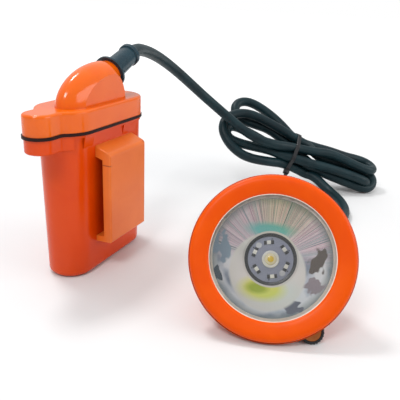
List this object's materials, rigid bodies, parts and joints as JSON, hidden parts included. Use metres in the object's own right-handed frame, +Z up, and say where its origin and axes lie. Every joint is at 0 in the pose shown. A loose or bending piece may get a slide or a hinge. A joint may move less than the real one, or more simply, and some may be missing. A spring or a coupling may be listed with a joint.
{
  "type": "miner's cap lamp",
  "caption": "Cap lamp with a belt-worn battery case, a headpiece that hooks on a helmet and has a turning switch knob, and a rubber cable between them, folded and tied in a hank.",
  "frame": {"origin": "middle of the battery case's foot, on the surface it stands on", "axes": "+X along the case's broad side towards its cable boot, belt loop on the -Y side, +Z up"},
  "size_m": [0.2808, 0.1709, 0.1212],
  "materials": {
    "case_shell": "gloss",
    "lid_shell": "gloss",
    "lamp_shell": "gloss",
    "cable_rubber": "satin",
    "seal_rubber": "matt",
    "lens_seal": "matt",
    "black_nylon": "satin",
    "dark_steel": "satin",
    "steel": "brushed",
    "brass": "satin",
    "magnet": "polished",
    "nickel": "satin",
    "clear_lens": "polished",
    "switch_glass": "polished",
    "mirror_coat": "polished",
    "lamp_board": "satin",
    "sink": "satin",
    "circuit": "satin",
    "chips": "matt",
    "emitter": "satin",
    "cell_sleeve": "satin",
    "lead_sleeve": "satin"
  },
  "bodies": {
    "lamp": {"battery_case": "case_shell", "belt_loop": "case_shell", "case_lid": "lid_shell", "bezel": "lamp_shell", "lamp_housing": "lamp_shell", "battery_boot": "cable_rubber", "battery_cable_tail": "cable_rubber", "lamp_boot": "cable_rubber", "lamp_cable_tail": "cable_rubber", "cable_rise": "cable_rubber", "cable_hank": "cable_rubber", "cable_drop": "cable_rubber", "case_gasket": "seal_rubber", "bezel_seal": "seal_rubber", "lens_gasket": "lens_seal", "cable_tie": "black_nylon", "charge_bush": "black_nylon", "board_ring": "black_nylon", "battery_clamp": "black_nylon", "lamp_clamp": "black_nylon", "cell_holder_lower": "black_nylon", "cell_holder_upper": "black_nylon", "rear_catch": "dark_steel", "lock_screw": "steel", "catch_screw": "steel", "battery_clamp_screws": "steel", "lamp_clamp_screws": "steel", "board_screws": "steel", "hook_screws": "steel", "helmet_hook": "steel", "charge_contact": "brass", "cell_links": "nickel", "lens": "clear_lens", "reed_switch": "switch_glass", "reflector": "mirror_coat", "led_board": "lamp_board", "heat_sink": "sink", "protection_board": "circuit", "driver_board": "circuit", "board_parts": "chips", "main_led": "emitter", "small_leds": "emitter", "cells": "cell_sleeve", "battery_leads": "lead_sleeve", "lamp_leads": "lead_sleeve"},
    "knob": {"switch_knob": "black_nylon", "knob_cap": "brass", "switch_shaft": "steel", "knob_magnet": "magnet"}
  },
  "joints": [
    {"name": "switch_turn", "type": "hinge", "parent": "lamp", "child": "knob", "pos_m": [-0.02632, -0.13998, 0.00493], "axis": [-0.8312, -0.2637, 0.4894], "range_deg": [0, 90]}
  ]
}
